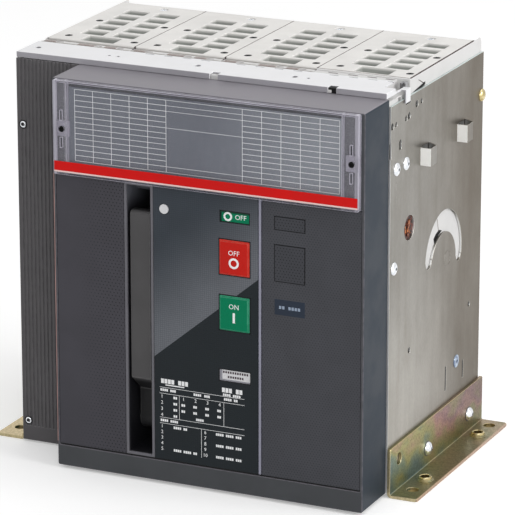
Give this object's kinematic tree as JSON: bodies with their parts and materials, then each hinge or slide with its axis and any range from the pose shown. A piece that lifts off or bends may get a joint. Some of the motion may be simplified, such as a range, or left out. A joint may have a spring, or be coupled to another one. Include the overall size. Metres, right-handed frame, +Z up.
{
  "type": "air switch disconnector",
  "caption": "Open-type air switch disconnector in a fixed frame: moulded pole housings, vented arc chambers, steel side plates on feet, framed front with push buttons and charging lever.",
  "frame": {"origin": "centre of the four outer foot holes, on the floor plane under the feet", "axes": "+Z up, the front with the buttons faces -Y, +X to the right seen from the front"},
  "size_m": [0.424, 0.3011, 0.375],
  "materials": {
    "zinc_sheet": "galvanised, satin",
    "yellow_zinc": "yellow passivated zinc",
    "white_sheet": "satin white paint",
    "white_moulding": "moulded thermoset, matt",
    "chamber_moulding": "moulded thermoset, matt",
    "plated_copper": "silver plated, satin",
    "frame_plastic": "satin moulded plastic",
    "panel_plastic": "fine textured",
    "lever_plastic": "satin moulded plastic",
    "ribbed_plastic": "matt moulded plastic",
    "red_plastic": "gloss",
    "green_plastic": "gloss",
    "white_plastic": "satin",
    "diagram_plastic": "printed sheet",
    "clear_plastic": "clear moulded plastic",
    "bare_copper": "bare copper"
  },
  "bodies": {
    "case": {"left_side_plate": "zinc_sheet", "right_side_plate": "zinc_sheet", "left_foot": "yellow_zinc", "right_foot": "yellow_zinc", "top_beam": "white_sheet", "beam_clip": "white_sheet", "mechanism_housing": "white_moulding", "pole_housing_1": "white_moulding", "pole_housing_2": "white_moulding", "pole_housing_3": "white_moulding", "pole_housing_4": "white_moulding", "arc_chamber_1": "chamber_moulding", "arc_chamber_2": "chamber_moulding", "arc_chamber_3": "chamber_moulding", "arc_chamber_4": "chamber_moulding", "upper_terminal_1": "plated_copper", "upper_terminal_2": "plated_copper", "upper_terminal_3": "plated_copper", "upper_terminal_4": "plated_copper", "lower_terminal_1": "plated_copper", "lower_terminal_2": "plated_copper", "lower_terminal_3": "plated_copper", "lower_terminal_4": "plated_copper", "bottom_ties": "zinc_sheet", "front_frame": "frame_plastic", "left_panel": "panel_plastic", "centre_panel": "panel_plastic", "right_panel": "panel_plastic", "panel_strip": "frame_plastic", "lever_pocket": "frame_plastic", "lever_pin": "zinc_sheet", "position_window": "green_plastic", "spring_window": "white_plastic", "seal_disc": "white_plastic", "small_knockout": "panel_plastic", "large_knockout": "panel_plastic", "diagram_plate": "diagram_plastic", "clear_cover": "clear_plastic", "cover_stripe": "red_plastic", "ribbed_cover": "ribbed_plastic", "earth_contact": "bare_copper"},
    "lever": {"charging_lever": "lever_plastic"},
    "off_push": {"off_button": "red_plastic"},
    "on_push": {"on_button": "green_plastic"}
  },
  "joints": [
    {"name": "lever_hinge", "type": "hinge", "parent": "case", "child": "lever", "pos_m": [-0.0363, -0.1385, 0.052], "axis": [1, 0, 0], "range_deg": [0, 70], "stiffness_Nm_per_rad": 0.12, "springref_deg": -34.38},
    {"name": "off_press", "type": "slide", "parent": "case", "child": "off_push", "axis": [0, 1, 0], "range_m": [0, 0.004], "stiffness_N_per_m": 800, "springref_m": -0.004},
    {"name": "on_press", "type": "slide", "parent": "case", "child": "on_push", "axis": [0, 1, 0], "range_m": [0, 0.004], "stiffness_N_per_m": 800, "springref_m": -0.004}
  ]
}
